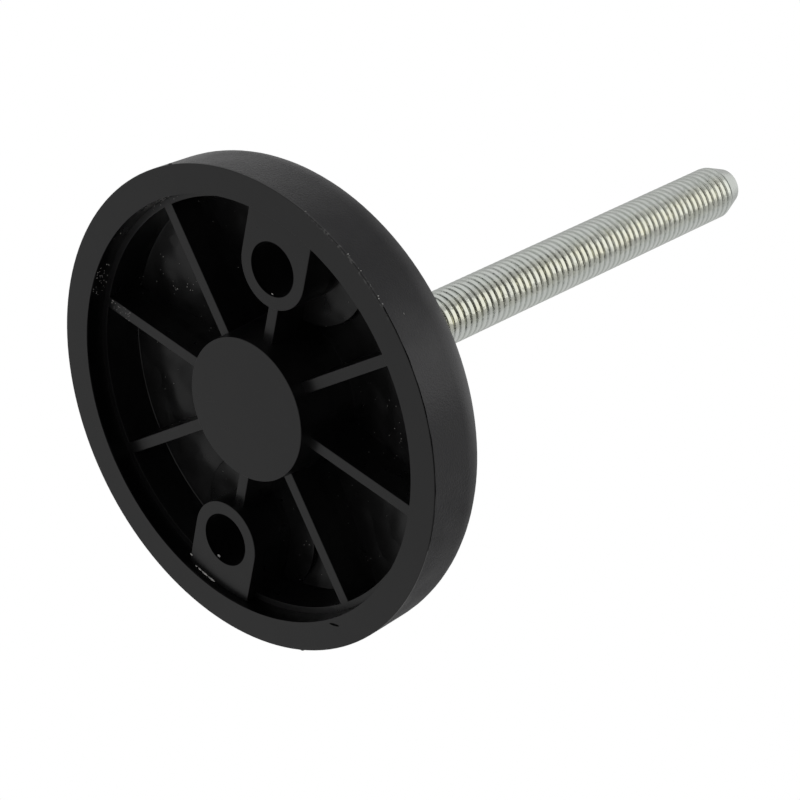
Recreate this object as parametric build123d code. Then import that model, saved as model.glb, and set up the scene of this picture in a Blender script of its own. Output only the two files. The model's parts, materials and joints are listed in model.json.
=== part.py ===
from build123d import *
from math import cos, radians, sin, sqrt, tan
import os

# Adjustable levelling foot: a ribbed round base with a ball socket, and a threaded stud with a ball end.
# Lengths are in millimetres and angles in degrees. The base stands on z = 0, its axis is Z,
# and the two floor bolt holes lie on the X axis.

# Outside of the base
base_d = 100.0          # outside diameter at the foot of the side wall
side_draft = 2.3        # lean of the side wall
corner_height = 17.0    # height where the lines of the side wall and the top cross
corner_radius = 8.5     # rounding of that corner
corner_bevels = 4       # straight bevels that make up the rounding
top_slope = 6.0         # rise of the top towards the collar
collar_d = 31.0         # raised collar round the socket's mouth
collar_root = 2.2       # bevel that carries the collar's wall down into the top
collar_edge = 1.2       # bevel on the collar's upper edge

# Underside of the base
rim_width = 6.0         # flat ring that stands on the floor
top_wall = 5.4          # thickness of the top above the pockets
pocket_draft = 3.0      # lean of the pocket walls
pad_seat_depth = 4.0    # depth of the ledge and of the ribs' faces
ledge_width = 1.4
hub_d = 29.8            # closed hub under the socket
hub_recess = 1.0
rib_count = 8
rib_thickness = 3.0

# Floor bolt holes
bolt_spacing = 65.0
bolt_hole_d = 10.5
boss_wall = 3.0
boss_recess = 1.7
bolt_seat_d = 22.0      # flat seat for the bolt's washer, sunk in the top
bolt_seat_height = 17.4

# Ball joint
ball_d = 16.0
ball_flat_d = 10.0      # turned flat on the ball's free end
ball_height = 17.0      # ball centre above the floor
ball_clearance = 0.08   # radial play of the ball in its socket
snap_undercut = 0.6     # how far the socket's mouth is narrower than the ball, on the radius
mouth_flare = 1.0       # widening of the mouth towards its top, on the radius
seat_angle = 45.0       # slope of the conical seat below the ball
tilt_limit = 15.0
tilt_gap = 0.6          # room left between hexagon and collar at the tilt limit

# Stud
total_height = 155.0
thread_d = 11.85        # M12 external thread over its crests
neck_d = 10.0
neck_length = 12.5      # ball centre to hexagon
hexagon_width = 17.0    # across flats
hexagon_height = 8.0
hexagon_chamfer = 30.0  # turned chamfer on the hexagon's corners
runout_d = 9.4          # undercut between hexagon and thread
runout_length = 2.0
tip_d = 8.2
tip_length = 5.0

# Sizes that follow from those above
base_r = base_d / 2
rim_inner_r = base_r - rim_width
hub_r = hub_d / 2
boss_r = bolt_hole_d / 2 + boss_wall
ball_r = ball_d / 2
socket_r = ball_r + ball_clearance
mouth_r = ball_r - snap_undercut
hexagon_corner_r = hexagon_width / sqrt(3)
hexagon_drop = neck_length * cos(radians(tilt_limit)) - hexagon_corner_r * sin(radians(tilt_limit))
collar_top = ball_height + hexagon_drop - tilt_gap
corner_r = base_r - corner_height * tan(radians(side_draft))


def top_height(radius):
    """Height of the sloping top at a distance from the axis."""
    return corner_height + (corner_r - radius) * tan(radians(top_slope))


def floor_height(radius):
    """Height of the pockets' roof, one wall below the top."""
    return top_height(radius) - top_wall


def spun(outline):
    """Solid of revolution about Z from an outline drawn on the XZ plane, with X as the radius."""
    return revolve(Plane.XZ * outline, Axis.Z)


def outline_of(*points):
    """Closed face through (radius, height) points."""
    return make_face(Polyline(*points, close=True))


def vertex_near(face, radius, height):
    """Corner of an outline closest to a (radius, height) point."""
    return face.vertices().sort_by_distance((radius, height, 0))[0]


def bevelled(face, radius, height, size):
    """Outline with the corner near a (radius, height) point cut off."""
    return chamfer(vertex_near(face, radius, height), size)


def corner_points():
    """Points on the rounding between side wall and top, from the wall upwards."""
    turn = 90 - side_draft - top_slope
    middle = radians(side_draft + turn / 2)
    reach = corner_radius / cos(radians(turn / 2))
    centre = (corner_r - reach * cos(middle), corner_height - reach * sin(middle))
    arc = CenterArc(centre, corner_radius, side_draft, turn)
    return [arc @ (i / corner_bevels) for i in range(corner_bevels + 1)]


def base_envelope():
    """Outside of the base: side wall, rounded corner, sloping top and collar, with no pockets."""
    collar_r = collar_d / 2
    collar_foot = top_height(collar_r)
    outline = outline_of(
        (0, 0),
        (base_r, 0),
        *corner_points(),
        (collar_r, collar_foot),
        (collar_r, collar_top),
        (0, collar_top),
    )
    outline = bevelled(outline, collar_r, collar_foot, collar_root)
    outline = bevelled(outline, collar_r, collar_top, collar_edge)
    return spun(outline)


def pocket_ring():
    """Ring-shaped hollow between rim and hub, before ribs and bosses divide it."""
    lean = tan(radians(pocket_draft))
    ledge_outer = rim_inner_r - pad_seat_depth * lean
    ledge_inner = ledge_outer - ledge_width
    wall_top = ledge_inner - (floor_height(ledge_inner) - pad_seat_depth) * lean
    hub_top = hub_r + (floor_height(hub_r) - hub_recess) * lean
    outline = outline_of(
        (0, 0),
        (rim_inner_r, 0),
        (ledge_outer, pad_seat_depth),
        (ledge_inner, pad_seat_depth),
        (wall_top, floor_height(wall_top)),
        (hub_top, floor_height(hub_top)),
        (hub_r, hub_recess),
        (0, hub_recess),
    )
    return spun(outline)


def standing_prism(shape, depth):
    """Prism that rises from a depth above the floor."""
    return extrude(Pos(0, 0, depth) * shape, collar_top)


def ribs():
    """Bars that keep their place when the pocket ring is cut: two ribs, end to end, in each bar."""
    bar = standing_prism(Rectangle(base_d, rib_thickness), pad_seat_depth)
    return [Rot(0, 0, 360 / rib_count * i) * bar for i in range(rib_count // 2)]


def bosses():
    """Ear-shaped prisms round the bolt holes, running out into the rim."""
    ear = Pos(bolt_spacing / 2, 0) * Circle(boss_r)
    reach = base_r - bolt_spacing / 2
    ear += Pos(bolt_spacing / 2 + reach / 2, 0) * Rectangle(reach, 2 * boss_r)
    prism = standing_prism(ear, boss_recess)
    return [prism, Rot(0, 0, 180) * prism]


def ball_socket():
    """Socket with a conical seat, a round grip about the ball and a mouth that flares to the collar's top."""
    lean = radians(90 - seat_angle)
    seat_top = Vector(socket_r * cos(lean), ball_height - socket_r * sin(lean))
    floor = ball_height - socket_r
    floor_r = seat_top.X - (seat_top.Y - floor) / tan(radians(seat_angle))
    lip = Vector(mouth_r, ball_height + sqrt(socket_r**2 - mouth_r**2))
    outline = make_face([
        Polyline((0, collar_top), (0, floor), (floor_r, floor), seat_top),
        ThreePointArc(seat_top, (socket_r, ball_height), lip),
        Polyline(lip, (mouth_r + mouth_flare, collar_top), (0, collar_top)),
    ])
    return spun(outline)


def bolt_cuts():
    """Through holes for the floor bolts and the flat seats above them."""
    hole = extrude(Circle(bolt_hole_d / 2), collar_top)
    seat = extrude(Pos(0, 0, bolt_seat_height) * Circle(bolt_seat_d / 2), collar_top)
    return [Pos(side * bolt_spacing / 2, 0) * (hole + seat) for side in (-1, 1)]


def moulded_base():
    """Base: the envelope less the pockets between the ribs, the bolt holes and the socket."""
    pockets = pocket_ring() - ribs() - bosses()
    return base_envelope() - pockets - bolt_cuts() - ball_socket()


def hexagon(low):
    """Spanner hexagon standing on a height, with a turned chamfer on both ends."""
    high = low + hexagon_height
    flat_r = hexagon_width / 2
    rise = (hexagon_corner_r - flat_r) * tan(radians(hexagon_chamfer))
    prism = extrude(Pos(0, 0, low) * RegularPolygon(flat_r, 6, major_radius=False), hexagon_height)
    turned = outline_of(
        (0, low),
        (flat_r, low),
        (hexagon_corner_r, low + rise),
        (hexagon_corner_r, high - rise),
        (flat_r, high),
        (0, high),
    )
    return prism & spun(turned)


def threaded_shank(low):
    """Shank at the thread's crest diameter, from the undercut above the hexagon to the chamfered tip."""
    thread_low = low + runout_length
    lead_in = (thread_d - runout_d) / 2
    outline = outline_of(
        (0, low),
        (runout_d / 2, low),
        (runout_d / 2, thread_low),
        (thread_d / 2, thread_low + lead_in),
        (thread_d / 2, total_height - tip_length),
        (tip_d / 2, total_height),
        (0, total_height),
    )
    return spun(outline)


def ball_stud():
    """Stud in one piece: ball, neck, hexagon and threaded shank."""
    hexagon_low = ball_height + neck_length
    flat_height = ball_height - sqrt(ball_r**2 - (ball_flat_d / 2)**2)
    ball = Pos(0, 0, ball_height) * Sphere(ball_r)
    ball = split(ball, Plane.XY.offset(flat_height))
    neck = extrude(Pos(0, 0, ball_height) * Circle(neck_d / 2), neck_length)
    return ball + neck + hexagon(hexagon_low) + threaded_shank(hexagon_low + hexagon_height)


os.makedirs("parts", exist_ok=True)
for name, make in (("moulded_base", moulded_base), ("ball_stud", ball_stud)):
    piece = make()
    export_step(piece, f"parts/{name}.step")
    print(name, "volume", round(piece.volume), "size", piece.bounding_box().size)
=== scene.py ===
# %% [markdown]
# # An adjustable levelling foot
# This foot carries a piece of furniture and sets its height. It has two pieces: a round base of black
# moulded plastic, ribbed underneath, and a zinc plated stud whose ball end tilts in the base.
# The measured model of both pieces is loaded first. Everything below is built in its place and at its
# size, so nothing has to be fitted afterwards.

# %% Load the measured model
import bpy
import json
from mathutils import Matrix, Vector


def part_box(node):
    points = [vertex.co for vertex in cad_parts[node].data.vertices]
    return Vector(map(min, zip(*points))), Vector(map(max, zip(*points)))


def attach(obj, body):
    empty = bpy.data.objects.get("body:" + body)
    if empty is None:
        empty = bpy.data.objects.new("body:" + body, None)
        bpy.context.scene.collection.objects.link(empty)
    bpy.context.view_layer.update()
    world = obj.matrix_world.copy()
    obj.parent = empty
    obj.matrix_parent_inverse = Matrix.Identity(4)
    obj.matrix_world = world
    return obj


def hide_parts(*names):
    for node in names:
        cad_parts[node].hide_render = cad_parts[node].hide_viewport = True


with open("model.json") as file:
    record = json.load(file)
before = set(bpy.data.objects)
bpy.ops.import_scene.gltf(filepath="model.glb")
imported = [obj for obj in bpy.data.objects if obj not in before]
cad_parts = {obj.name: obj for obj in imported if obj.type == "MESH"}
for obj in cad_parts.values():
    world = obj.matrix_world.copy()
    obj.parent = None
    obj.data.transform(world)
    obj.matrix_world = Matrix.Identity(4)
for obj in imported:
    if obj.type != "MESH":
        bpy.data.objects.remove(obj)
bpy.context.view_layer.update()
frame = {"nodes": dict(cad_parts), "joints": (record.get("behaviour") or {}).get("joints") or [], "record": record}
print("measured pieces:", ", ".join(sorted(frame["nodes"])))

# %% [markdown]
# A drawing of such a foot is in millimetres, and Blender counts in metres. The sizes below stay in
# millimetres, as a maker would write them, and each helper scales its own mesh by MM. What the model
# knows is read from it: the overall boxes, the thread, the floor bolts and the centre of the ball joint.

# %% Sizes that the model gives
import json
import math

import bmesh
import bpy
from mathutils import Matrix, Vector

MM = 0.001
mounts = {mount["name"]: mount["dims"] for mount in frame["record"]["mounts"]}
base_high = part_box("moulded_base")[1]
base_r = base_high.x / MM
collar_top = base_high.z / MM
stud_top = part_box("ball_stud")[1].z / MM
ball_height = frame["joints"][0]["pos_m"][2] / MM
crest_r = mounts["stud_thread"]["r_mm"]
bolt_x = mounts["floor_bolts"]["spacing_x_mm"] / 2
bolt_hole_r = mounts["floor_bolts"]["hole_r_mm"]
print(f"base {2 * base_r:.1f} mm across, stud up to {stud_top:.1f} mm, thread {2 * crest_r:.2f} mm")

# %% [markdown]
# The photograph looks up at the ribbed underside, with the stud pointing away to the upper right.
# The camera is set by numbers that a photographer could read off a tripod: the direction it looks from,
# its roll, its distance, and the point it aims at.

# %% Camera
camera_azimuth = math.radians(130.917)
camera_elevation = math.radians(-41.8)
camera_roll = math.radians(64.088)
camera_distance = 663.82
camera_aim = Vector((-15.608, 1.569, 47.959))
camera_lens = 144.6


def direction(azimuth, elevation):
    """Unit vector from the object towards an azimuth and elevation; azimuth 0 is the -Y side."""
    flat = math.cos(elevation)
    return Vector((math.sin(azimuth) * flat, -math.cos(azimuth) * flat, math.sin(elevation)))


def new_object(name, data):
    """Places a mesh, a lamp or a camera in the scene as a new object."""
    thing = bpy.data.objects.new(name, data)
    bpy.context.collection.objects.link(thing)
    return thing


camera_back = direction(camera_azimuth, camera_elevation)
level_right = Vector((0, 0, 1)).cross(camera_back).normalized()
level_up = camera_back.cross(level_right)
camera_right = level_right * math.cos(camera_roll) + level_up * math.sin(camera_roll)
camera_up = camera_back.cross(camera_right)
camera_turn = Matrix((camera_right, camera_up, camera_back)).transposed()
camera_place = (camera_aim + camera_back * camera_distance) * MM
camera_data = bpy.data.cameras.new("photo_camera")
camera_data.lens = camera_lens
camera_data.clip_start = 0.02
camera_data.clip_end = 20.0
camera = new_object("photo_camera", camera_data)
camera.matrix_world = Matrix.LocRotScale(camera_place, camera_turn, None)
bpy.context.scene.camera = camera
print("camera stands at", [round(x, 4) for x in camera_place])

# %% [markdown]
# Nearly everything here is round, so the main tool is a lathe: an outline of radius and height goes round
# the axis. The Spin or Screw tool could do that, but a short function that makes the rings itself closes
# the poles and leaves no seam, which the cuts later need. An outline is a list of corners, and a third
# number on a corner rounds it off, because no moulded or turned edge is truly sharp.

# %% Outlines with rounded corners
ARC_STEP = math.radians(8)


def arc(centre, radius, start, turn):
    """Points on a circle, from a start angle through a turn."""
    steps = max(1, math.ceil(abs(turn) / ARC_STEP))
    angles = [start + turn * i / steps for i in range(steps + 1)]
    return [Vector(centre) + radius * Vector((math.cos(a), math.sin(a))) for a in angles]


def outline(*corners):
    """Points through (radius, height) corners; a corner's third number is its rounding."""
    points = []
    for index, corner in enumerate(corners):
        here = Vector(corner[:2])
        if len(corner) == 2:
            points.append(here)
            continue
        rounding = corner[2]
        before = (Vector(corners[index - 1][:2]) - here).normalized()
        after = (Vector(corners[(index + 1) % len(corners)][:2]) - here).normalized()
        half = before.angle(after) / 2
        centre = here + (before + after).normalized() * (rounding / math.sin(half))
        first = here + before * (rounding / math.tan(half)) - centre
        turn = math.copysign(math.pi - 2 * half, -before.cross(after))
        points += arc(centre, rounding, math.atan2(first.y, first.x), turn)
    return points


print("arcs in steps of", round(math.degrees(ARC_STEP)), "degrees")

# %% A lathe and a loft
SEGMENTS = 144
CIRCLE = [2 * math.pi * i / SEGMENTS for i in range(SEGMENTS)]
ON_AXIS = 1e-6


def on_ring(radius, angle, height, axis_x=0.0):
    """Point at a radius from an upright axis, a plan angle and a height."""
    return axis_x + radius * math.cos(angle), radius * math.sin(angle), height


def from_shape(name, shape):
    """Makes a piece of a shape in metres."""
    mesh = bpy.data.meshes.new(name)
    shape.to_mesh(mesh)
    shape.free()
    return new_object(name, mesh)


def as_piece(name, shape):
    """Makes a piece of a shape in millimetres, with its faces outwards."""
    bmesh.ops.recalc_face_normals(shape, faces=shape.faces)
    bmesh.ops.scale(shape, vec=(MM, MM, MM), verts=shape.verts)
    return from_shape(name, shape)


def turned(name, points, axis_x=0.0):
    """Solid of an outline that starts and ends on its upright axis."""
    shape = bmesh.new()
    rings = []
    for radius, height in points:
        angles = CIRCLE[:1] if radius < ON_AXIS else CIRCLE
        rings.append([shape.verts.new(on_ring(radius, angle, height, axis_x)) for angle in angles])
    for low, high in zip(rings, rings[1:]):
        for i in range(SEGMENTS):
            j = i + 1
            corners = (low[i % len(low)], low[j % len(low)], high[j % len(high)], high[i % len(high)])
            different = list(dict.fromkeys(corners))
            if len(different) > 2:
                shape.faces.new(different)
    return as_piece(name, shape)


def lofted(name, loops):
    """Solid through closed loops of points, one above the other."""
    shape = bmesh.new()
    rings = [[shape.verts.new(point) for point in loop] for loop in loops]
    shape.faces.new(rings[0])
    shape.faces.new(rings[-1])
    for low, high in zip(rings, rings[1:]):
        for i in range(len(low)):
            shape.faces.new((low[i - 1], low[i], high[i], high[i - 1]))
    return as_piece(name, shape)


print("lathe with", SEGMENTS, "sides")

# %% [markdown]
# A mould makes the base in one shot, with its hollows formed by a core. The script follows that: a solid
# outside, and cores that are cut out of it. Boolean modifiers do the cutting, and each result is kept as
# a plain mesh, so that no modifier is left when a piece is handed over.

# %% Cutting and joining
CUT_SOLVER = "MANIFOLD"


def freeze(piece):
    """Keeps what a piece's modifiers make of it as its plain mesh."""
    seen = piece.evaluated_get(bpy.context.evaluated_depsgraph_get())
    mesh = bpy.data.meshes.new_from_object(seen)
    before = piece.data
    piece.modifiers.clear()
    piece.data = mesh
    bpy.data.meshes.remove(before)
    return piece


def combine(piece, operation, *tools):
    """Cuts tools out of a piece, or joins them to it, and removes the tools."""
    for tool in tools:
        step = piece.modifiers.new(tool.name, "BOOLEAN")
        step.solver = CUT_SOLVER
        step.operation = operation
        step.object = tool
    freeze(piece)
    for tool in tools:
        bpy.data.objects.remove(tool)
    return piece


def describe(piece):
    """Prints a piece's size and whether its surface is closed."""
    shape = bmesh.new()
    shape.from_mesh(piece.data)
    open_edges = sum(not edge.is_manifold for edge in shape.edges)
    triangles = sum(len(face.verts) - 2 for face in shape.faces)
    volume = shape.calc_volume(signed=True) / MM**3
    shape.free()
    print(f"{piece.name}: {triangles} triangles, {volume:.0f} mm3, {open_edges} open edges")


print("cuts are made with the solver", CUT_SOLVER)

# %% [markdown]
# The ribs and the thread repeat by a rule, and the dust is scattered, so node trees make them, and the
# finishes are node trees too. A tree can be drawn in the node editor. A script keeps it with the sizes,
# but long sums of Math nodes are hard to read there. So a Term stands for what a node puts out, and
# Python's own signs between terms add the nodes that do the sum.

# %% Terms, for arithmetic with nodes
class Term:
    """Output of a node. The signs of arithmetic between terms make Math nodes."""

    def __init__(self, socket):
        self.socket = socket
        self.tree = socket.id_data

    def __add__(self, other):
        return calc("ADD", self, other)

    def __sub__(self, other):
        return calc("SUBTRACT", self, other)

    def __rsub__(self, other):
        return calc("SUBTRACT", other, self)

    def __mul__(self, other):
        return calc("MULTIPLY", self, other)

    def __truediv__(self, other):
        return calc("DIVIDE", self, other)


def output_of(node):
    """A node's first output, as a term."""
    return Term(node.outputs[0])


def terms(node):
    """All outputs of a node, by name."""
    return {output.name: Term(output) for output in node.outputs}


def add(tree, kind, sockets=None, **settings):
    """Adds a node. Its sockets take plain values, or link to terms, sockets and first outputs of nodes."""
    node = tree.nodes.new(kind)
    for name, value in settings.items():
        setattr(node, name, value)
    for socket, value in (sockets or {}).items():
        if isinstance(value, bpy.types.Node):
            value = value.outputs[0]
        if isinstance(value, Term):
            value = value.socket
        if isinstance(value, bpy.types.NodeSocket):
            tree.links.new(value, node.inputs[socket])
        else:
            node.inputs[socket].default_value = value
    return node


def link(value, socket):
    """Links a term to a socket."""
    value.tree.links.new(value.socket, socket)


def calc(operation, *values):
    """One Math node on terms and plain numbers."""
    tree = next(value.tree for value in values if isinstance(value, Term))
    return output_of(add(tree, "ShaderNodeMath", dict(enumerate(values)), operation=operation))


print("signs between terms: + - * /")

# %% [markdown]
# With these helpers a tree takes a few lines: one makes a group with named sockets, one ends a geometry tree
# as plain mesh with its material, and one runs the tree on a piece. The trees set the materials, so those
# are named here and filled in further down.

# %% Node trees
def ramp(value, low, high, to_low=0.0, to_high=1.0):
    """Carries a term from one range over to another, and stays in it."""
    sockets = {"Value": value, "From Min": low, "From Max": high, "To Min": to_low, "To Max": to_high}
    return output_of(add(value.tree, "ShaderNodeMapRange", sockets))


def length_of(across, along):
    """Length of the diagonal over two terms."""
    return calc("SQRT", calc("MULTIPLY_ADD", along, along, across * across))


def vector(tree, x=0.0, y=0.0, z=0.0):
    """Vector from three terms or numbers."""
    return add(tree, "ShaderNodeCombineXYZ", {"X": x, "Y": y, "Z": z})


def coordinates(tree, place):
    """The three coordinates of a place, as terms."""
    return terms(add(tree, "ShaderNodeSeparateXYZ", {"Vector": place})).values()


def node_group(name, kind, inputs, outputs):
    """New node group with labels for each type of socket; gives the tree, what comes in and the result."""
    tree = bpy.data.node_groups.new(name, kind)
    for in_out, sockets in (("INPUT", inputs), ("OUTPUT", outputs)):
        for socket, labels in sockets.items():
            for label in labels:
                tree.interface.new_socket(label, in_out=in_out, socket_type="NodeSocket" + socket)
    given = terms(tree.nodes.new("NodeGroupInput"))
    return tree, given, tree.nodes.new("NodeGroupOutput").inputs


def end_tree(geometry, given, result):
    """Ends a geometry tree: copies become plain mesh and take their material."""
    tree = geometry.id_data
    plain = add(tree, "GeometryNodeRealizeInstances", {"Geometry": geometry})
    sockets = {"Geometry": plain, "Material": given["Material"]}
    link(output_of(add(tree, "GeometryNodeSetMaterial", sockets)), result["Geometry"])


def grow(piece, tree, values):
    """Runs a geometry tree on a piece, with its inputs set by name, and keeps the plain mesh."""
    step = piece.modifiers.new(tree.name, "NODES")
    step.node_group = tree
    for item in tree.interface.items_tree:
        if item.in_out == "INPUT" and item.name in values:
            step[item.identifier] = values[item.name]
    return freeze(piece)


black_plastic = bpy.data.materials.new("grained_black_plastic")
zinc_plating = bpy.data.materials.new("zinc_plating")
pale_dust = bpy.data.materials.new("pale_dust")
print("three finishes to fill in:", black_plastic.name, zinc_plating.name, pale_dust.name)

# %% [markdown]
# The outside of the base is one turned form. The side wall leans in a little so that it leaves the mould,
# a large rounding leads over to a gently sloping top, and a collar rises round the mouth of the socket.

# %% Outside of the base
side_draft = math.radians(2.3)
corner_height = 17.0
corner_rounding = 8.5
top_slope = math.radians(6)
collar_r = 15.5
collar_root = 2.5
collar_edge = 1.2
foot_rounding = 0.15
rim_middle = base_r - 3.0
corner_r = base_r - corner_height * math.tan(side_draft)


def top_height(radius):
    """Height of the sloping top at a distance from the axis."""
    return corner_height + (corner_r - radius) * math.tan(top_slope)


foot_base = turned("foot_base", outline(
    (0, 0),
    (rim_middle, 0),
    (base_r, 0, foot_rounding),
    (corner_r, corner_height, corner_rounding),
    (collar_r, top_height(collar_r), collar_root),
    (collar_r, collar_top, collar_edge),
    (0, collar_top),
))
describe(foot_base)

# %% [markdown]
# The core of the underside starts as a plain ring-shaped hollow. Its outer wall has a ledge part of the
# way up, where a non-slip disc could be pressed in, and its inner wall is the closed hub below the socket.
# The outline reaches a little below the floor, so that the rounding of the rim's and the hub's edges is
# cut cleanly.

# %% Hollow of the underside
rim_width = 6.0
top_wall = 5.4
pocket_lean = math.tan(math.radians(3))
ledge_height = 4.0
ledge_width = 1.4
hub_r = 14.9
hub_recess = 1.0
rim_rounding = 0.06
edge_rounding = 0.15
ledge_rounding = 0.03
root_rounding = 0.2
hub_root_rounding = 0.03
below_floor = -1.0
clear_of_face = 0.001
rim_r = base_r - rim_width
ledge_r = rim_r - ledge_height * pocket_lean
wall_r = ledge_r - ledge_width
wall_top_r = wall_r - (top_height(wall_r) - top_wall - ledge_height) * pocket_lean
hub_top_r = hub_r + (top_height(hub_r) - top_wall - hub_recess) * pocket_lean

hollow = turned("hollow", outline(
    (0, below_floor),
    (rim_middle, below_floor),
    (rim_middle, -clear_of_face),
    (rim_r, -clear_of_face, rim_rounding),
    (ledge_r, ledge_height, ledge_rounding),
    (wall_r, ledge_height, ledge_rounding),
    (wall_top_r, top_height(wall_top_r) - top_wall, root_rounding),
    (hub_top_r, top_height(hub_top_r) - top_wall, hub_root_rounding),
    (hub_r, hub_recess, edge_rounding),
    (0, hub_recess),
))
describe(hollow)

# %% [markdown]
# Eight ribs run from the hub to the rim. In the mould they are slots in the core, so here they are cut
# out of the hollow. One bar is drawn as a rounded rectangle carried along a line, and the tree turns
# copies of it round the axis. Changing the count or the thickness is then one number. The four slanting
# ribs stand a degree off the even spacing, away from the bolts, and the sine of twice the angle shifts
# them without moving the others.

# %% Tree that cuts ribs out of a hollow
edge_steps = 4
rib_tree, given, result = node_group("ribs_in_hollow", "GeometryNodeTree", {
    "Geometry": ["Geometry"],
    "Int": ["Rib count"],
    "Float": [
        "Thickness", "Lower face", "Upper end", "Inner end", "Outer end", "Edge rounding", "Slanting shift",
    ],
    "Material": ["Material"],
}, {"Geometry": ["Geometry"]})
rib_height = given["Upper end"] - given["Lower face"]
rib_middle = rib_height * 0.5 + given["Lower face"]
rib_section = add(rib_tree, "GeometryNodeCurvePrimitiveQuadrilateral", {
    "Width": given["Thickness"], "Height": rib_height,
})
rib_profile = add(rib_tree, "GeometryNodeFilletCurve", {
    "Curve": rib_section, "Count": edge_steps, "Radius": given["Edge rounding"],
}, mode="POLY")
rib_line = add(rib_tree, "GeometryNodeCurvePrimitiveLine", {
    "Start": vector(rib_tree, given["Inner end"], 0, rib_middle),
    "End": vector(rib_tree, given["Outer end"], 0, rib_middle),
})
rib_bar = add(rib_tree, "GeometryNodeCurveToMesh", {
    "Curve": rib_line, "Profile Curve": rib_profile, "Fill Caps": True,
})
rib_index = output_of(add(rib_tree, "GeometryNodeInputIndex"))
even_turn = rib_index / given["Rib count"] * (2 * math.pi)
slant = calc("SINE", even_turn * 2.0)
rib_copies = add(rib_tree, "GeometryNodeInstanceOnPoints", {
    "Points": add(rib_tree, "GeometryNodePoints", {"Count": given["Rib count"]}),
    "Instance": rib_bar,
    "Rotation": vector(rib_tree, z=slant * given["Slanting shift"] + even_turn),
})
rib_bars = add(rib_tree, "GeometryNodeRealizeInstances", {"Geometry": rib_copies})
rib_cut = add(rib_tree, "GeometryNodeMeshBoolean", {
    "Mesh 1": given["Geometry"], "Mesh 2": rib_bars,
}, operation="DIFFERENCE", solver=CUT_SOLVER)
end_tree(rib_cut, given, result)
print("rib tree:", len(rib_tree.nodes), "nodes")

# %% Eight ribs
rib_proud = 0.02
well_above = 2 * collar_top
grow(hollow, rib_tree, {
    "Rib count": 8,
    "Thickness": 2.4 * MM,
    "Lower face": (ledge_height - rib_proud) * MM,
    "Upper end": well_above * MM,
    "Inner end": hub_r / 2 * MM,
    "Outer end": base_r * MM,
    "Edge rounding": edge_rounding * MM,
    "Slanting shift": math.radians(1),
    "Material": black_plastic,
})
describe(hollow)

# %% [markdown]
# Two ear-shaped bosses carry the bolt holes. Each is round towards the hub, has parallel sides and runs
# out into the rim. A loft through a few loops gives its lower edge a rounding, which a plain extrusion
# would leave sharp. A washer seat is sunk in the top above each boss. To keep the wall there as thick as
# elsewhere, a flat round pad hangs from the roof below the seat, a little wider than the seat.

# %% Bosses and seat pads, cut out of the hollow
boss_wall = 3.0
boss_recess = 1.7
bolt_seat_r = 11.0
bolt_seat_height = 17.4
pad_margin = 3.7
ear_inset = 1.0
boss_r = bolt_hole_r + boss_wall
pad_r = bolt_seat_r + pad_margin
pad_height = bolt_seat_height - top_wall
ear_end = base_r - ear_inset


def ear_loop(side, inset, height):
    """Outline of a boss, drawn in by an inset, on one side of the axis."""
    radius = boss_r - inset
    nose = arc((bolt_x, 0), radius, math.pi / 2, math.pi)
    loop = [*nose, (ear_end, -radius), (ear_end, radius)]
    return [(side * x, y, height) for x, y in loop]


def ear(side):
    """Boss as a tall prism whose lower edge is rounded."""
    loops = []
    for step in range(edge_steps + 1):
        turn = math.pi / 2 * step / edge_steps
        inset = edge_rounding * (1 - math.sin(turn))
        loops.append(ear_loop(side, inset, boss_recess + edge_rounding * (1 - math.cos(turn))))
    loops.append(ear_loop(side, 0, well_above))
    return lofted(f"ear_{side}", loops)


def seat_pad(side):
    """Flat pad under a bolt seat, one wall below it, as a tall disc."""
    return turned(f"seat_pad_{side}", outline(
        (0, pad_height),
        (pad_r, pad_height, edge_rounding),
        (pad_r, well_above),
        (0, well_above),
    ), side * bolt_x)


combine(hollow, "DIFFERENCE", ear(1), ear(-1), seat_pad(1), seat_pad(-1))
describe(hollow)

# %% [markdown]
# The last cores are the bolt holes with the flat seats for their washers, and the ball socket. The socket
# is open at the top: a conical seat below the ball, a round grip past its widest point and a mouth that
# flares out, so that the stud can lean.

# %% Bolt holes and ball socket
ball_r = 8.0
socket_play = 0.08
snap_undercut = 0.6
mouth_flare = 1.0
seat_angle = math.radians(-45)
hole_margin = 1.5
hole_rounding = 0.4
seat_rounding = 0.2
socket_r = ball_r + socket_play
mouth_r = ball_r - snap_undercut
mouth_end_r = mouth_r + mouth_flare
hole_clear_r = bolt_hole_r + hole_margin


def bolt_core(side):
    """Core of one bolt hole, with its rounded lower edge and the seat above it."""
    return turned(f"bolt_core_{side}", outline(
        (0, below_floor),
        (hole_clear_r, below_floor),
        (hole_clear_r, boss_recess - clear_of_face),
        (bolt_hole_r, boss_recess - clear_of_face, hole_rounding),
        (bolt_hole_r, bolt_seat_height, seat_rounding),
        (bolt_seat_r, bolt_seat_height, seat_rounding),
        (bolt_seat_r, well_above),
        (0, well_above),
    ), side * bolt_x)


def socket_core():
    """Core of the socket, from its flat floor up through the flared mouth."""
    floor_height = ball_height - socket_r
    seat_r = socket_r * math.cos(seat_angle)
    seat_height = ball_height + socket_r * math.sin(seat_angle)
    floor_r = seat_r - (seat_height - floor_height)
    lip_angle = math.acos(mouth_r / socket_r)
    return turned("socket_core", [
        *outline((0, floor_height), (floor_r, floor_height)),
        *arc((0, ball_height), socket_r, seat_angle, lip_angle - seat_angle),
        *outline((mouth_end_r, collar_top), (mouth_end_r, well_above), (0, well_above)),
    ])


combine(foot_base, "DIFFERENCE", hollow, bolt_core(1), bolt_core(-1), socket_core())
describe(foot_base)

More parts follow.
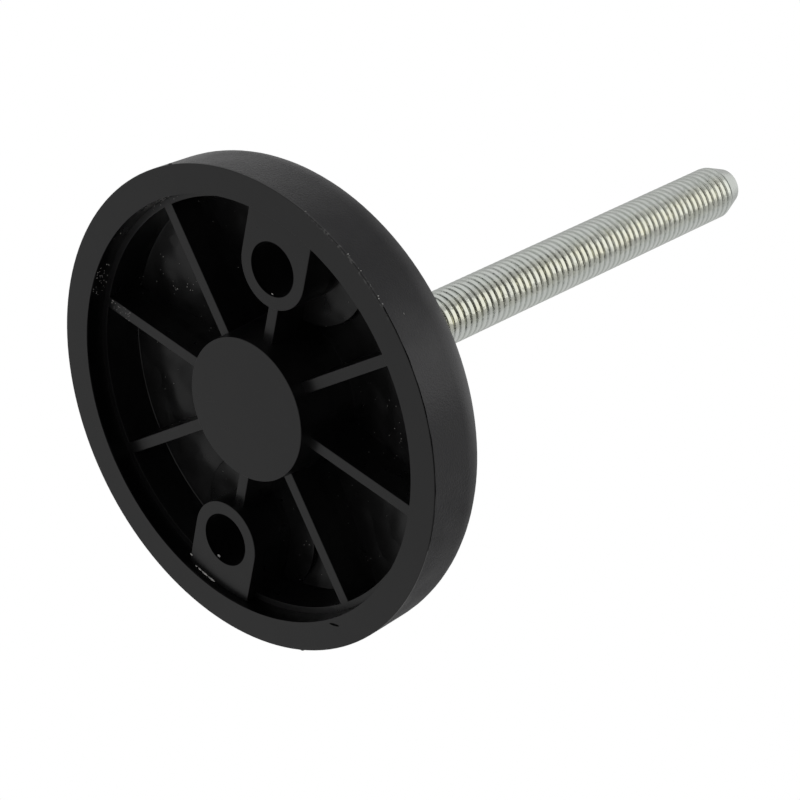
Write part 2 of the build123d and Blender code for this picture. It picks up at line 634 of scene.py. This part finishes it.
# %% [markdown]
# Three small flaws tell of the mould and of use. The rim's face has a slanting nick, cut here with a long
# flattened ball. On one stretch of the outer edge a hair-thin gap shows where the two halves of the mould
# met. It is cut with a thin band that grows out of the wall at both ends, because a dark line in the
# colour would not show on black plastic: only a real gap takes the reflection away. Elsewhere on that
# edge two crumbs of flash stand out, and break the clean outline.

# %% Nick, parting gap and flash
nick_angle = math.radians(134.9)
nick_slant = math.radians(23.6)
nick_r = rim_r + 1.3
nick_size = Vector((0.28, 1.35, 0.5))
flash_angles = (-34.4, 149.5)
flash_size = Vector((0.3, 0.6, 0.25))
flash_r = base_r - 0.05
flash_low = 0.1
gap_start = math.radians(34)
gap_end = math.radians(93)
gap_steps = 60
gap_depth = 0.6
gap_low = 0.10
gap_height = 0.2
gap_unevenness = 0.07
gap_swing = 37
gap_quick_swing = 61
gap_end_bluntness = 0.35
clear_of_wall = 0.1
gap_outer_r = base_r + 1


def crumb(name, size, place, turn):
    """Small flattened ball of three half sizes at a place, turned about the upright axis."""
    shape = bmesh.new()
    bmesh.ops.create_icosphere(shape, subdivisions=2, radius=1.0)
    bmesh.ops.scale(shape, vec=size, verts=shape.verts)
    bmesh.ops.rotate(shape, matrix=Matrix.Rotation(turn, 3, "Z"), verts=shape.verts)
    bmesh.ops.translate(shape, vec=place, verts=shape.verts)
    return as_piece(name, shape)


def parting_gap():
    """Thin band along the lower edge, deepest in its middle, that reaches out past the wall."""
    loops = []
    for step in range(gap_steps + 1):
        share = step / gap_steps
        angle = gap_start + (gap_end - gap_start) * share
        fullness = math.sin(math.pi * share) ** gap_end_bluntness
        inner_r = base_r + clear_of_wall - (gap_depth + clear_of_wall) * fullness
        wander = math.sin(gap_swing * share) + math.sin(gap_quick_swing * share + 1)
        gap_high = gap_low + gap_height + gap_unevenness * wander / 2
        section = [(inner_r, gap_low), (gap_outer_r, gap_low), (gap_outer_r, gap_high), (inner_r, gap_high)]
        loops.append([on_ring(radius, angle, height) for radius, height in section])
    return lofted("parting_gap", loops)


nick = crumb("nick", nick_size, on_ring(nick_r, nick_angle, 0), nick_angle + nick_slant)
combine(foot_base, "DIFFERENCE", nick, parting_gap())
for angle in map(math.radians, flash_angles):
    place = on_ring(flash_r, angle, flash_size.z + flash_low)
    combine(foot_base, "UNION", crumb("flash", flash_size, place, angle))
describe(foot_base)

# %% [markdown]
# Flat and round faces meet on this piece, so shading is smooth, with sharp lines only where the surface
# turns by more than a set angle. Weighted normals keep the large flat faces flat up to their rounded
# edges, which is what makes a moulded edge catch the light.

# %% Smooth shading with crisp edges
TINY_EDGE = 1e-7
moulded_crease = math.radians(32)


def shade(piece, sharp_from, below=math.inf):
    """Smooth faces; edges up to a height that turn more than an angle are kept crisp."""
    shape = bmesh.new()
    shape.from_mesh(piece.data)
    bmesh.ops.dissolve_degenerate(shape, dist=TINY_EDGE, edges=shape.edges)
    for face in shape.faces:
        face.smooth = True
    for edge in shape.edges:
        low = (edge.verts[0].co.z + edge.verts[1].co.z) / 2 < below * MM
        edge.smooth = not (low and edge.calc_face_angle(0) > sharp_from)
    shape.to_mesh(piece.data)
    shape.free()


shade(foot_base, moulded_crease)
weighted = foot_base.modifiers.new("weighted_normals", "WEIGHTED_NORMAL")
weighted.keep_sharp = True
freeze(foot_base)
describe(foot_base)

# %% [markdown]
# The stud starts with its thread. A rolled M12 thread climbs 1.75 mm a turn. On this one the crests are
# broad lands, barely crowned, and the grooves narrow. A spiral swept along a curve would have loose ends,
# so the tree bends a grid into a rod instead: one direction goes round, the other climbs, and a row's
# place within the pitch sets its radius. Where the rod has its undercut and its pointed tip, the smaller
# radius wins, so the grooves run out into them.

# %% Tree of a threaded rod
FLANK_ANGLE = math.radians(30)
END_ROWS = 2.0
rod_tree, given, result = node_group("rolled_thread", "GeometryNodeTree", {
    "Int": ["Sides", "Rows per turn"],
    "Float": [
        "Bottom", "Top", "Pitch", "Crest radius", "Crest land", "Crest crown", "Thread depth",
        "Undercut radius", "Undercut top", "Tip radius", "Tip length",
    ],
    "Material": ["Material"],
}, {"Geometry": ["Geometry"]})
bottom = given["Bottom"]
top = given["Top"]
pitch = given["Pitch"]
row_height = pitch / given["Rows per turn"]
row_count = calc("CEIL", (top - bottom + pitch) / row_height) + END_ROWS
rod_grid = add(rod_tree, "GeometryNodeMeshGrid", {
    "Size X": 1.0, "Size Y": 1.0, "Vertices X": given["Sides"] + 1.0, "Vertices Y": row_count + 1.0,
})
across, along, _ = coordinates(rod_tree, add(rod_tree, "GeometryNodeInputPosition"))
turn_share = across + 0.5
row = calc("ROUND", (along + 0.5) * row_count)
climbed = turn_share * pitch + (row * row_height + (bottom - pitch - row_height))
height = calc("MAXIMUM", bottom, calc("MINIMUM", top, climbed))

phase = calc("FRACT", row / given["Rows per turn"])
from_crest = calc("ABSOLUTE", phase - 0.5) * pitch
half_land = given["Crest land"] * 0.5
on_land = calc("MINIMUM", from_crest, half_land) / half_land
land_drop = on_land * on_land * given["Crest crown"]
on_flank = calc("MAXIMUM", from_crest - half_land, 0.0)
thread_drop = on_flank * (1 / math.tan(FLANK_ANGLE)) + land_drop
thread_r = given["Crest radius"] - calc("MINIMUM", thread_drop, given["Thread depth"])

undercut_limit = given["Undercut radius"] + calc("MAXIMUM", height - given["Undercut top"], 0.0)
tip_slope = (given["Crest radius"] - given["Tip radius"]) / given["Tip length"]
tip_limit = (top - height) * tip_slope + given["Tip radius"]
turned_r = calc("MINIMUM", thread_r, calc("MINIMUM", undercut_limit, tip_limit))
end_row = calc("LESS_THAN", row, 0.5) + calc("GREATER_THAN", row, row_count - 0.5)
rod_r = turned_r * (1.0 - end_row)
angle = turn_share * (2 * math.pi)
rod_bent = add(rod_tree, "GeometryNodeSetPosition", {
    "Geometry": rod_grid,
    "Position": vector(rod_tree, rod_r * calc("COSINE", angle), rod_r * calc("SINE", angle), height),
})
rod_closed = add(rod_tree, "GeometryNodeMergeByDistance", {"Geometry": rod_bent, "Distance": 1e-6})
end_tree(rod_closed, given, result)
print("rod tree:", len(rod_tree.nodes), "nodes")

# %% Threaded rod of the stud
neck_length = 12.5
hexagon_height = 8.0
hexagon_low = ball_height + neck_length
hexagon_high = hexagon_low + hexagon_height
overlap = 1.0
undercut_length = 2.0
thread_depth = 0.56
tip_r = 4.1
tip_length = 5.0
levelling_stud = new_object("levelling_stud", bpy.data.meshes.new("levelling_stud"))
grow(levelling_stud, rod_tree, {
    "Sides": 48,
    "Rows per turn": 24,
    "Bottom": (hexagon_high - overlap) * MM,
    "Top": stud_top * MM,
    "Pitch": 1.75 * MM,
    "Crest radius": crest_r * MM,
    "Crest land": 1.08 * MM,
    "Crest crown": 0.02 * MM,
    "Thread depth": thread_depth * MM,
    "Undercut radius": 4.7 * MM,
    "Undercut top": (hexagon_high + undercut_length) * MM,
    "Tip radius": tip_r * MM,
    "Tip length": tip_length * MM,
    "Material": zinc_plating,
})
describe(levelling_stud)

# %% [markdown]
# Below the thread come the spanner hexagon, the neck and the ball, all turned from the same bar. The
# hexagon's corners carry the usual turned chamfer, which appears when a six-sided prism is kept only
# where it lies inside a chamfered disc.

# %% Hexagon, neck and ball
hexagon_flat_r = 8.5
hexagon_corner_r = hexagon_flat_r / math.cos(math.radians(30))
chamfer_angle = math.radians(30)
chamfer_rise = (hexagon_corner_r - hexagon_flat_r) * math.tan(chamfer_angle)
chamfer_rounding = 0.2
neck_r = 5.0
ball_flat_r = 5.0
turned_crease = math.radians(25)


def hexagon():
    """Six-sided prism, kept inside a disc with chamfered edges."""
    corners = [math.radians(60 * i) for i in range(6)]
    ends = (hexagon_low, hexagon_high)
    prism = lofted("hexagon", [[on_ring(hexagon_corner_r, a, height) for a in corners] for height in ends])
    disc = turned("disc", outline(
        (0, hexagon_low),
        (hexagon_flat_r, hexagon_low, chamfer_rounding),
        (hexagon_corner_r, hexagon_low + chamfer_rise),
        (hexagon_corner_r, hexagon_high - chamfer_rise),
        (hexagon_flat_r, hexagon_high, chamfer_rounding),
        (0, hexagon_high),
    ))
    return combine(prism, "INTERSECT", disc)


def ball_and_neck():
    """Ball with a turned flat below, and the neck that carries it, up into the hexagon."""
    flat_angle = math.acos(ball_flat_r / ball_r)
    neck_angle = math.acos(neck_r / ball_r)
    ball = arc((0, ball_height), ball_r, -flat_angle, flat_angle + neck_angle)
    neck = outline((neck_r, hexagon_low + overlap), (0, hexagon_low + overlap))
    return turned("ball_and_neck", [Vector((0, ball[0].y)), *ball, *neck])


combine(levelling_stud, "UNION", hexagon(), ball_and_neck())
shade(levelling_stud, turned_crease, below=hexagon_high + undercut_length / 2)
describe(levelling_stud)

# %% [markdown]
# A part from a box is never spotless. Pale specks lie in the pockets, on the rim's inner wall and on one
# rib, and flakes cling to the scraped outer edge. One tree serves for all of them: it scatters points over
# the base, keeps those within a range of radius, height and angle and in thicker patches, and puts a tiny
# rough ball on each. Every range has its own fixed seed, so the specks stay where they are.

# %% Tree of scattered specks
speck_tree, given, result = node_group("scattered_specks", "GeometryNodeTree", {
    "Geometry": ["Geometry"],
    "Float": [
        "Per square metre", "Smallest", "Largest", "Patch size", "Bare share",
        "Inner radius", "Outer radius", "Lowest", "Highest", "First angle", "Last angle",
    ],
    "Int": ["Seed"],
    "Material": ["Material"],
}, {"Geometry": ["Geometry"]})


def within(value, low, high):
    """1 where a term lies between two limits, else 0."""
    return calc("GREATER_THAN", value, low) * calc("LESS_THAN", value, high)


speck_points = add(speck_tree, "GeometryNodeDistributePointsOnFaces", {
    "Mesh": given["Geometry"], "Density": given["Per square metre"], "Seed": given["Seed"],
})
speck_place = add(speck_tree, "GeometryNodeInputPosition")
x, y, z = coordinates(speck_tree, speck_place)
in_ring = within(length_of(x, y), given["Inner radius"], given["Outer radius"])
in_layer = within(z, given["Lowest"], given["Highest"])
in_sector = within(calc("ARCTAN2", y, x), given["First angle"], given["Last angle"])
patches = output_of(add(speck_tree, "ShaderNodeTexNoise", {
    "Vector": speck_place, "Scale": calc("DIVIDE", 1.0, given["Patch size"]), "Detail": 1.0,
}))
in_patch = calc("GREATER_THAN", patches, given["Bare share"])
speck = add(speck_tree, "GeometryNodeMeshIcoSphere", {"Radius": 1.0, "Subdivisions": 1})
speck_size = add(speck_tree, "FunctionNodeRandomValue", {
    2: given["Smallest"], 3: given["Largest"], "Seed": given["Seed"],
}, data_type="FLOAT")
specks = add(speck_tree, "GeometryNodeInstanceOnPoints", {
    "Points": speck_points,
    "Selection": in_ring * in_layer * in_sector * in_patch,
    "Instance": speck,
    "Rotation": speck_points.outputs["Rotation"],
    "Scale": speck_size.outputs[1],
})
end_tree(specks, given, result)
print("speck tree:", len(speck_tree.nodes), "nodes")

# %% Specks of dust and flakes
patch_size = 12.0
bare_share = 0.45


def scatter(name, per_square_mm, sizes, radii, heights, angles, seed):
    """Specks on the base within ranges of size, radius, height and plan angle."""
    piece = new_object(name, foot_base.data.copy())
    labels = ("Smallest", "Largest", "Inner radius", "Outer radius", "Lowest", "Highest", "Patch size")
    lengths = (*sizes, *radii, *heights, patch_size)
    values = {label: length * MM for label, length in zip(labels, lengths)}
    values["First angle"], values["Last angle"] = map(math.radians, angles)
    values["Per square metre"] = per_square_mm / MM**2
    values.update({"Bare share": bare_share, "Seed": seed, "Material": pale_dust})
    grow(piece, speck_tree, values)
    describe(piece)
    return piece


ALL_ROUND = (-181, 181)
scatterings = [
    scatter("roof_specks", 0.05, (0.04, 0.1), (17, 42), (10, 16), ALL_ROUND, 3),
    scatter("left_roof_specks", 0.10, (0.07, 0.15), (26, 41), (10, 16), (-82, -50), 4),
    scatter("right_roof_specks", 0.12, (0.06, 0.12), (25.5, 29.5), (10, 16), (52, 88), 6),
    scatter("wall_specks", 1.3, (0.05, 0.12), (43.4, 44.4), (0.4, 3.9), (-88, -64), 5),
    scatter("upper_wall_specks", 0.9, (0.05, 0.11), (43.0, 44.4), (0.4, 4.2), (-53, -40), 12),
    scatter("rib_specks", 1.5, (0.05, 0.11), (36, 41.5), (3.9, 4.1), (-92, -85), 7),
    scatter("edge_flakes", 2.0, (0.06, 0.16), (49.7, 50.1), (0.2, 0.5), (7, 37), 8),
]

# %% [markdown]
# Along the junction of one boss and the rim lie thin pale slivers, which are painted highlights: they
# stand in for the white glints of that junction. Each bolt hole has a burr on its edge, and one fleck
# clings to the side wall. They are few, so each is listed: a stretched ball at a point on the base. All
# loose bits become one piece in the end, because they share a finish and ride together.

# %% Slivers, and one piece of all loose bits
glint_sliver_height = boss_recess - 0.05
# The first five slivers are painted highlights, set where the junction of boss and rim shines.
slivers = [
    ((42.3, -169.0, glint_sliver_height), (0.14, 0.35, 0.12)),
    ((43.8, -171.8, glint_sliver_height), (0.12, 0.30, 0.12)),
    ((43.8, -173.2, glint_sliver_height), (0.15, 0.50, 0.14)),
    ((43.8, -175.1, glint_sliver_height), (0.18, 0.95, 0.16)),
    ((43.8, -177.7, glint_sliver_height), (0.18, 1.05, 0.16)),
    ((37.3, -178.5, boss_recess + 0.08), (0.25, 0.40, 0.12)),
    ((27.45, 2.0, boss_recess + 0.12), (0.10, 0.25, 0.06)),
    ((49.80, 38.0, 4.0), (0.06, 0.20, 0.07)),
]


def gather(name, pieces):
    """Joins the meshes of several pieces into a new one and removes them."""
    shape = bmesh.new()
    for piece in pieces:
        shape.from_mesh(piece.data)
        bpy.data.objects.remove(piece)
    return from_shape(name, shape)


for (radius, angle, height), size in slivers:
    turn = math.radians(angle)
    scatterings.append(crumb("sliver", Vector(size), on_ring(radius, turn, height), turn))
dust_specks = gather("dust_specks", scatterings)
describe(dust_specks)

# %% [markdown]
# Two effects serve more than one finish, so each is a shader group. The first gives a point's distance
# from the axis, its height, its angle round the axis and its distance from the nearer bolt's axis, in
# millimetres and degrees. The second is a mottle: soft noise of a given size, from 0 to 1, which stands
# for grain, stains or unevenness.

# %% Shader groups
DEGREES = 180 / math.pi
round_place, given, result = node_group(
    "round_place", "ShaderNodeTree", {}, {"Float": ["Radius", "Height", "Angle", "From bolt"]}
)
x, y, z = coordinates(round_place, add(round_place, "ShaderNodeTexCoord").outputs["Object"])
past_bolt = calc("ABSOLUTE", x) - bolt_x * MM
link(length_of(x, y) / MM, result["Radius"])
link(z / MM, result["Height"])
link(calc("ARCTAN2", y, x) * DEGREES, result["Angle"])
link(length_of(past_bolt, y) / MM, result["From bolt"])

mottle, given, result = node_group(
    "mottle", "ShaderNodeTree", {"Float": ["Size", "Detail", "Low", "High"]}, {"Float": ["Value"]}
)
noise = output_of(add(mottle, "ShaderNodeTexNoise", {
    "Vector": add(mottle, "ShaderNodeTexCoord").outputs["Object"],
    "Scale": calc("DIVIDE", 1 / MM, given["Size"]),
    "Detail": given["Detail"],
}))
link(ramp(noise, given["Low"], given["High"]), result["Value"])
print("groups:", round_place.name, mottle.name)

# %% Material helpers
def use_group(tree, group, sockets=None):
    """Places a shader group in a material and gives what it puts out, by name."""
    return terms(add(tree, "ShaderNodeGroup", sockets, node_tree=group))


def blotches(tree, size, detail=2.0, low=0.3, high=0.7):
    """Mottle of a size in millimetres, from 0 to 1."""
    sockets = {"Size": size, "Detail": detail, "Low": low, "High": high}
    return use_group(tree, mottle, sockets)["Value"]


def blend(share, first, second):
    """Mixes two colours."""
    node = add(share.tree, "ShaderNodeMix", {0: share, 6: first, 7: second}, data_type="RGBA")
    return Term(node.outputs[2])


def bump(relief, depth):
    """Normal of a relief, whose full height is a depth in millimetres."""
    sockets = {"Strength": 1.0, "Distance": depth * MM, "Height": relief}
    return output_of(add(relief.tree, "ShaderNodeBump", sockets))


def empty_tree(owner):
    """Node tree of a material or a world, emptied."""
    owner.use_nodes = True
    owner.node_tree.nodes.clear()
    return owner.node_tree


def new_surface(material):
    """Empties a material and gives it a Principled BSDF."""
    tree = empty_tree(material)
    surface = add(tree, "ShaderNodeBsdfPrincipled")
    add(tree, "ShaderNodeOutputMaterial", {"Surface": surface})
    return tree, surface.inputs


print("each finish starts from a Principled BSDF")

# %% [markdown]
# The plastic is black all through. Outside, the mould was spark eroded, which leaves a fine leathery grain
# and a faint violet cast. Hands have polished two stretches of the wall, and on one side the grain has worn
# flat. Underneath it is smoother: the roof of the pockets has shrunk into shallow dents, and the bolt holes
# are dull from their core pins. In the bolt holes and on the rim's inner wall the shade is painted: Metallic
# is raised there on the black, because a black metal reflects next to nothing. On one stretch of the lower
# edge the base has been rubbed, and the scraped plastic shows pale. The colour is nearly black, so most of
# what is seen is the reflection of the bright room, which Fresnel strengthens towards the edges.

# %% Black plastic
def sector(value, rise, fall):
    """1 between a rise and a fall of a term, each over a range, and 0 beyond them."""
    return ramp(value, *rise) * ramp(value, fall[1], fall[0])


pocket_black = (0.0022, 0.0022, 0.0024, 1)
pocket_grey = (0.0034, 0.0034, 0.0037, 1)
violet_black = (0.0048, 0.0042, 0.0060, 1)
violet_grey = (0.0064, 0.0058, 0.0074, 1)
scraped_grey = (0.18, 0.18, 0.175, 1)
white = (1, 1, 1, 1)
scrape_cover = 0.4
scrape_dullness = 0.2
grain_dullness = 0.3
polish_gain = 0.28
core_dullness = 0.6
rim_wall_painted_shade = 0.65
worn_share = 0.85
wave_share = 0.06
dent_share = 3.5
grain_depth = 0.1

tree, surface = new_surface(black_plastic)
spot = use_group(tree, round_place)
above_edge = ramp(spot["Height"], 0.2, 0.5)
on_wall = ramp(spot["Radius"], 46.0, 46.5)
on_top = ramp(spot["Height"], 15.6, 16.2)
outside = calc("MAXIMUM", on_wall * above_edge, on_top)
in_hole = ramp(spot["From bolt"], bolt_hole_r + 0.4, bolt_hole_r + 0.28)

at_edge = ramp(spot["Radius"], 49.3, 49.7)
low_down = ramp(spot["Height"], 0.6, 0.2)
stretch = sector(spot["Angle"], (4.0, 14.0), (28.0, 42.0))
rubbed = at_edge * low_down * stretch * blotches(tree, 0.9, 4.0, 0.5, 0.62)

inner_colour = blend(blotches(tree, 9.0), pocket_black, pocket_grey)
outer_colour = blend(blotches(tree, 12.0), violet_black, violet_grey)
body_colour = blend(outside, inner_colour, outer_colour)
link(blend(rubbed * scrape_cover, body_colour, scraped_grey), surface["Base Color"])

smooth_roughness = ramp(blotches(tree, 5.0, 3.0), 0.0, 1.0, 0.27, 0.34)
first_hold = sector(spot["Angle"], (-90.0, -60.0), (-8.0, 12.0))
second_hold = sector(spot["Angle"], (30.0, 50.0), (60.0, 85.0))
polish = calc("MAXIMUM", first_hold, second_hold)
grain_roughness = smooth_roughness + outside * (polish * -polish_gain + grain_dullness)
hole_roughness = in_hole * core_dullness + grain_roughness
link(rubbed * scrape_dullness + hole_roughness, surface["Roughness"])
surface["IOR"].default_value = 1.5
# Painted shade: Metallic on the black takes the reflection out of the bolt holes and off the rim's inner wall.
inside_rim = sector(spot["Radius"], (ledge_r - 0.2, ledge_r), (rim_r + 0.2, rim_r + 0.6))
painted_shade_in_hollows = calc("MAXIMUM", in_hole, inside_rim * above_edge * rim_wall_painted_shade)
link(painted_shade_in_hollows, surface["Metallic"])

worn_flat = sector(spot["Angle"], (-5.0, 15.0), (70.0, 90.0))
grain = blotches(tree, 0.4, 3.0) * (outside * (worn_flat * -worn_share + 1.0))
waves = blotches(tree, 3.5, 2.0) * wave_share
under_roof = ramp(spot["Height"], 9.0, 11.0)
on_roof = under_roof - calc("MINIMUM", outside, under_roof)
dents = blotches(tree, 9.0, 1.0) * on_roof * dent_share
link(bump(grain + waves + dents, grain_depth), surface["Normal"])
print("black plastic:", len(tree.nodes), "nodes")

# %% [markdown]
# The stud is steel with a bright zinc plating. The plating is a few thousandths of a millimetre thick and
# cloudy. It is faintly green, and yellower on the side towards the lens, below the tip. A metal has no
# colour of its own beside its reflection, so the tint is in Base Color. The dark lines of the thread come
# mostly from the grooves, which reflect what is dark around them; a dark brown in the grooves' colour is
# painted shade that deepens them. A rolled thread is a little uneven, so a soft bump makes the reflections
# wander.

# %% Zinc plating
green_zinc = (0.69, 0.725, 0.675, 1)
pale_zinc = (0.73, 0.755, 0.72, 1)
yellow_zinc = (0.755, 0.75, 0.60, 1)
painted_groove_shade = (0.09, 0.085, 0.075, 1)
yellow_middle = 48.0
groove_from = 0.3
groove_shade_cover = 0.3
rolled_share = 6.0
plating_depth = 0.02

tree, surface = new_surface(zinc_plating)
surface["Metallic"].default_value = 1.0
spot = use_group(tree, round_place)
off_middle = calc("ABSOLUTE", spot["Angle"] - yellow_middle)
below_tip = ramp(spot["Height"], 151.0, 147.0)
yellow_side = ramp(off_middle, 40.0, 10.0) * below_tip
yellow_cloud = ramp(blotches(tree, 4.0, 3.0), 0.0, 1.0, 0.4, 1.0)
green_cloud = blend(blotches(tree, 6.0, 3.0), green_zinc, pale_zinc)
plating = blend(yellow_side * yellow_cloud, green_cloud, yellow_zinc)
in_thread = ramp(spot["Height"], hexagon_high + 1.0, hexagon_high + 3.0)
cone_slope = (crest_r - tip_r) / tip_length
cone_r = spot["Height"] * -cone_slope + (tip_r + stud_top * cone_slope)
crest_here = calc("MINIMUM", cone_r, crest_r)
# Painted shade: the colour darkens from part way down each groove to its root.
groove = ramp(crest_here - spot["Radius"], groove_from, thread_depth) * in_thread
link(blend(groove * groove_shade_cover, plating, painted_groove_shade), surface["Base Color"])
link(ramp(blotches(tree, 2.5, 4.0), 0.0, 1.0, 0.15, 0.28), surface["Roughness"])
rolled = in_thread * below_tip * rolled_share
unevenness = blotches(tree, 3.0, 2.0) * rolled + blotches(tree, 0.5, 3.0)
link(bump(unevenness, plating_depth), surface["Normal"])
print("zinc plating:", len(tree.nodes), "nodes")

# %% [markdown]
# Dust is lint and plastic powder: pale grey, dull, and not quite even.

# %% Pale dust
dark_lint = (0.25, 0.25, 0.25, 1)
# Pale powder is also the painted highlight of the slivers by one boss, which stand in for glints.
pale_powder_and_glint = (0.72, 0.70, 0.67, 1)
tree, surface = new_surface(pale_dust)
link(blend(blotches(tree, 1.5), dark_lint, pale_powder_and_glint), surface["Base Color"])
surface["Roughness"].default_value = 0.9
print("pale dust:", len(tree.nodes), "nodes")

# %% [markdown]
# Each piece now takes its finish, rides on the body it belongs to, and stands for the measured solid that
# it dresses.

# %% Hand the pieces over
def hand_over(piece, material, body):
    """Gives a piece its finish and the body that carries it."""
    piece.data.materials.clear()
    piece.data.materials.append(material)
    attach(piece, body)


hand_over(foot_base, black_plastic, "base")
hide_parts("moulded_base")
hand_over(levelling_stud, zinc_plating, "stud")
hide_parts("ball_stud")
hand_over(dust_specks, pale_dust, "base")

# %% [markdown]
# The photograph is a product shot in an even white room. The world is white to the eye, about half as
# bright in reflections, as a room is beside its lamps, and it lights matt surfaces at a plain level. Four
# soft lamps add the rest: a key light over the lens, a tall one to the side, a large one behind and one
# overhead. A lamp's glow says how bright it looks in a mirror, since most of what is seen is reflection.

# %% Room and lamps
room_level = 0.45
mirrored_level = 0.49
lamp_distance = 1.3
world = bpy.data.worlds.new("white_room")
bpy.context.scene.world = world
tree = empty_tree(world)
world.cycles.sampling_method = "NONE"
path = terms(add(tree, "ShaderNodeLightPath"))
seen = calc("MAXIMUM", path["Is Camera Ray"], path["Is Transmission Ray"])
lit_or_mirrored = ramp(path["Is Glossy Ray"], 0.0, 1.0, room_level, mirrored_level)
room = add(tree, "ShaderNodeBackground", {
    "Color": white, "Strength": calc("MAXIMUM", seen, lit_or_mirrored),
})
add(tree, "ShaderNodeOutputWorld", {"Surface": room})


def towards(plan_angle, elevation):
    """Direction at an angle from the X axis in plan and an elevation, in degrees."""
    return direction(math.radians(plan_angle + 90), math.radians(elevation))


def soft_box(name, plan_angle, elevation, width, height, glow):
    """Large soft lamp that aims at the foot; its glow is how bright it looks in a mirror."""
    data = bpy.data.lights.new(name, "AREA")
    data.shape = "RECTANGLE"
    data.size = width
    data.size_y = height
    data.energy = glow * math.pi * width * height
    lamp = new_object(name, data)
    lamp.location = towards(plan_angle, elevation) * lamp_distance
    lamp.rotation_euler = lamp.location.to_track_quat("Z", "Y").to_euler()
    lamp.visible_camera = False


soft_box("key_light", 50, 46, 0.85, 0.9, 0.62)
soft_box("side_light", -38, 30, 1.5, 1.15, 0.24)
soft_box("back_light", 150, 32, 1.3, 1.3, 0.14)
soft_box("top_light", 40, 80, 1.1, 0.8, 0.3)
print("room with", len(bpy.data.lights), "lamps")

# %% [markdown]
# A bright thread in a white room would show no grooves, so a photographer sets up black cards, and so does
# the script. What a groove shows has crossed it, bounced off the next ridge and left again a little above
# the horizon. A curved card stands there, round both sides of the lens, and a small one lies below it.
# Only reflections see them: they throw no shadow and hide nothing.

# %% Black cards
CARD_DISTANCE = 0.9
CARD_STEPS = 12
black_cloth = bpy.data.materials.new("black_cloth")
tree, surface = new_surface(black_cloth)
surface["Base Color"].default_value = (0.03, 0.03, 0.03, 1)
surface["Roughness"].default_value = 1.0


def studio_sheet(name, corners, faces, material):
    """Thin sheet that belongs to the studio and not to the foot."""
    mesh = bpy.data.meshes.new(name)
    mesh.from_pydata(corners, [], faces)
    mesh.materials.append(material)
    sheet = new_object(name, mesh)
    return sheet


def black_card(name, plan_angles, elevations):
    """Curved card between two plan angles and two elevations, in degrees."""
    corners = []
    for step in range(CARD_STEPS + 1):
        plan = plan_angles[0] + (plan_angles[1] - plan_angles[0]) * step / CARD_STEPS
        for elevation in elevations:
            corners.append(towards(plan, elevation) * CARD_DISTANCE)
    faces = [[2 * i, 2 * i + 2, 2 * i + 3, 2 * i + 1] for i in range(CARD_STEPS)]
    card = studio_sheet(name, corners, faces, black_cloth)
    card.visible_camera = False
    card.visible_diffuse = False
    card.visible_shadow = False


black_card("card_round_lens", (3, 102), (-15, 22))
black_card("card_below", (100, 150), (-75, -50))
print("two cards,", CARD_DISTANCE, "m away")

# %% [markdown]
# The floor is pale and holds the shadow. Seen from below it would hide the foot, so it shows only from
# above, and it fades out to the white of the room.

# %% Floor
floor_r = 1.6
floor_height = -0.05 * MM
fade_from = 0.12
fade_to = 0.65
least_glow = 0.4
pale_floor = bpy.data.materials.new("pale_floor")
tree = empty_tree(pale_floor)
x, y, _ = coordinates(tree, add(tree, "ShaderNodeTexCoord").outputs["Object"])
path = terms(add(tree, "ShaderNodeLightPath"))
from_below = terms(add(tree, "ShaderNodeNewGeometry"))["Backfacing"]
shown = path["Is Camera Ray"] * (1.0 - from_below)
matt = add(tree, "ShaderNodeBsdfDiffuse", {"Color": (0.86, 0.86, 0.86, 1)})
glowing = add(tree, "ShaderNodeEmission", {"Color": white, "Strength": 1.0})
fade = ramp(length_of(x, y), fade_from, fade_to, least_glow, 1.0)
sheet = add(tree, "ShaderNodeMixShader", {0: fade, 1: matt, 2: glowing})
clear = add(tree, "ShaderNodeBsdfTransparent")
floor_face = add(tree, "ShaderNodeMixShader", {0: shown, 1: clear, 2: sheet})
add(tree, "ShaderNodeOutputMaterial", {"Surface": floor_face})
floor_corners = [on_ring(floor_r, angle, floor_height) for angle in CIRCLE]
studio_sheet("studio_floor", floor_corners, [list(range(SEGMENTS))], pale_floor)
bpy.context.scene.view_settings.view_transform = "Standard"
print("floor", 2 * floor_r, "m across")
